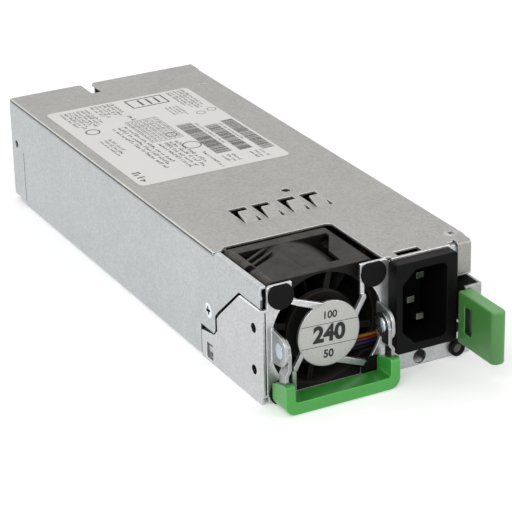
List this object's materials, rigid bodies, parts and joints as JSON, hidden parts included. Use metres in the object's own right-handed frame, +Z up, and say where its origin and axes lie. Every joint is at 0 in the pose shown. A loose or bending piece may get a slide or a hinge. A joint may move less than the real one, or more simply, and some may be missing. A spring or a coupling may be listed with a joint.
{
  "type": "hot swap server power supply",
  "caption": "Long low sheet metal power supply for a server bay, with a fan behind a spoked guard, mains inlet, fold-up handle and sprung release latch.",
  "frame": {"origin": "middle of the underside of the case, half way between its front and rear faces", "axes": "+Z up, +Y from the front face (fan, inlet, handle) to the rear card edge, +X to the latch side"},
  "size_m": [0.076, 0.23, 0.0411],
  "materials": {
    "galvanised_sheet": "zinc coated sheet with a faint spangle",
    "cover_sheet": "zinc coated sheet, satin",
    "bracket_sheet": "zinc coated sheet, satin",
    "rivet_steel": "bright zinc plate",
    "screw_steel": "bright zinc plate",
    "black_rubber": "matt",
    "fan_plastic": "glass filled plastic, satin",
    "rotor_plastic": "satin",
    "motor_copper": "enamelled copper",
    "green_handle": "coloured through, satin",
    "green_tab": "coloured through, satin",
    "black_plastic": "satin",
    "clear_plastic": "milky",
    "pin_metal": "tin plated brass",
    "label_paper": "satin film label",
    "grey_label": "satin film label",
    "circuit_board": "solder mask over glass fibre",
    "gold_contact": "gold plate",
    "clear_film": "translucent film",
    "ferrite": "matt",
    "winding_tape": "yellow tape",
    "aluminium_plain": "mill finish",
    "capacitor_sleeve": "shrink sleeve",
    "adhesive": "cured silicone",
    "relay_plastic": "satin",
    "film_box": "satin",
    "copper_bar": "bare copper",
    "wire_yellow": "insulation",
    "wire_red": "insulation",
    "wire_blue": "insulation",
    "wire_black": "insulation",
    "wire_brown": "insulation",
    "wire_earth": "green and yellow insulation"
  },
  "bodies": {
    "base": {"chassis_tray": "galvanised_sheet", "top_cover": "cover_sheet", "rear_panel": "galvanised_sheet", "fan_stop": "galvanised_sheet", "front_bracket": "bracket_sheet", "rubber_rivets": "black_rubber", "fan_frame": "fan_plastic", "fan_stator": "motor_copper", "handle_rivets": "rivet_steel", "inlet_housing": "black_plastic", "inlet_pins": "pin_metal", "inlet_lead_line": "wire_brown", "inlet_lead_neutral": "wire_blue", "inlet_lead_earth": "wire_earth", "latch_root": "galvanised_sheet", "latch_rivets": "rivet_steel", "light_ring": "black_plastic", "light_pipe": "clear_plastic", "case_screws": "screw_steel", "clinch_nuts": "screw_steel", "rating_label": "label_paper", "hub_label": "grey_label", "main_board": "circuit_board", "edge_contacts": "gold_contact", "insulating_foil": "clear_film", "board_standoffs": "screw_steel", "board_screws": "screw_steel", "bulk_capacitor": "capacitor_sleeve", "capacitor_cradle": "adhesive", "filter_chokes": "ferrite", "boost_choke": "ferrite", "transformer_core": "ferrite", "transformer_winding": "winding_tape", "heat_sinks": "aluminium_plain", "power_transistors": "black_plastic", "film_capacitors": "film_box", "inrush_relay": "relay_plastic", "input_fuse": "adhesive", "bridge_rectifier": "black_plastic", "output_capacitors": "capacitor_sleeve", "output_chokes": "ferrite", "control_board": "circuit_board", "control_chips": "black_plastic", "bus_bars": "copper_bar", "fan_plug": "adhesive", "fan_header": "adhesive", "fan_lead_yellow": "wire_yellow", "fan_lead_red": "wire_red", "fan_lead_blue": "wire_blue", "fan_lead_black": "wire_black"},
    "fan_rotor": {"fan_rotor": "rotor_plastic"},
    "handle": {"handle_bail": "bracket_sheet", "handle_grip": "green_handle"},
    "latch": {"latch_leaf": "galvanised_sheet", "latch_tab": "green_tab"}
  },
  "joints": [
    {"name": "handle_swing", "type": "hinge", "parent": "base", "child": "handle", "pos_m": [-0.0147, -0.1017, 0.0196], "axis": [-1, 0, 0], "range_deg": [0, 95]},
    {"name": "latch_press", "type": "hinge", "parent": "base", "child": "latch", "pos_m": [0.0358, -0.0535, 0.0176], "axis": [0, 0, -1], "range_deg": [0, 2.8], "stiffness_Nm_per_rad": 9},
    {"name": "fan_spin", "type": "hinge", "parent": "base", "child": "fan_rotor", "pos_m": [-0.0145, -0.0795, 0.0194], "axis": [0, 1, 0], "continuous": true}
  ]
}
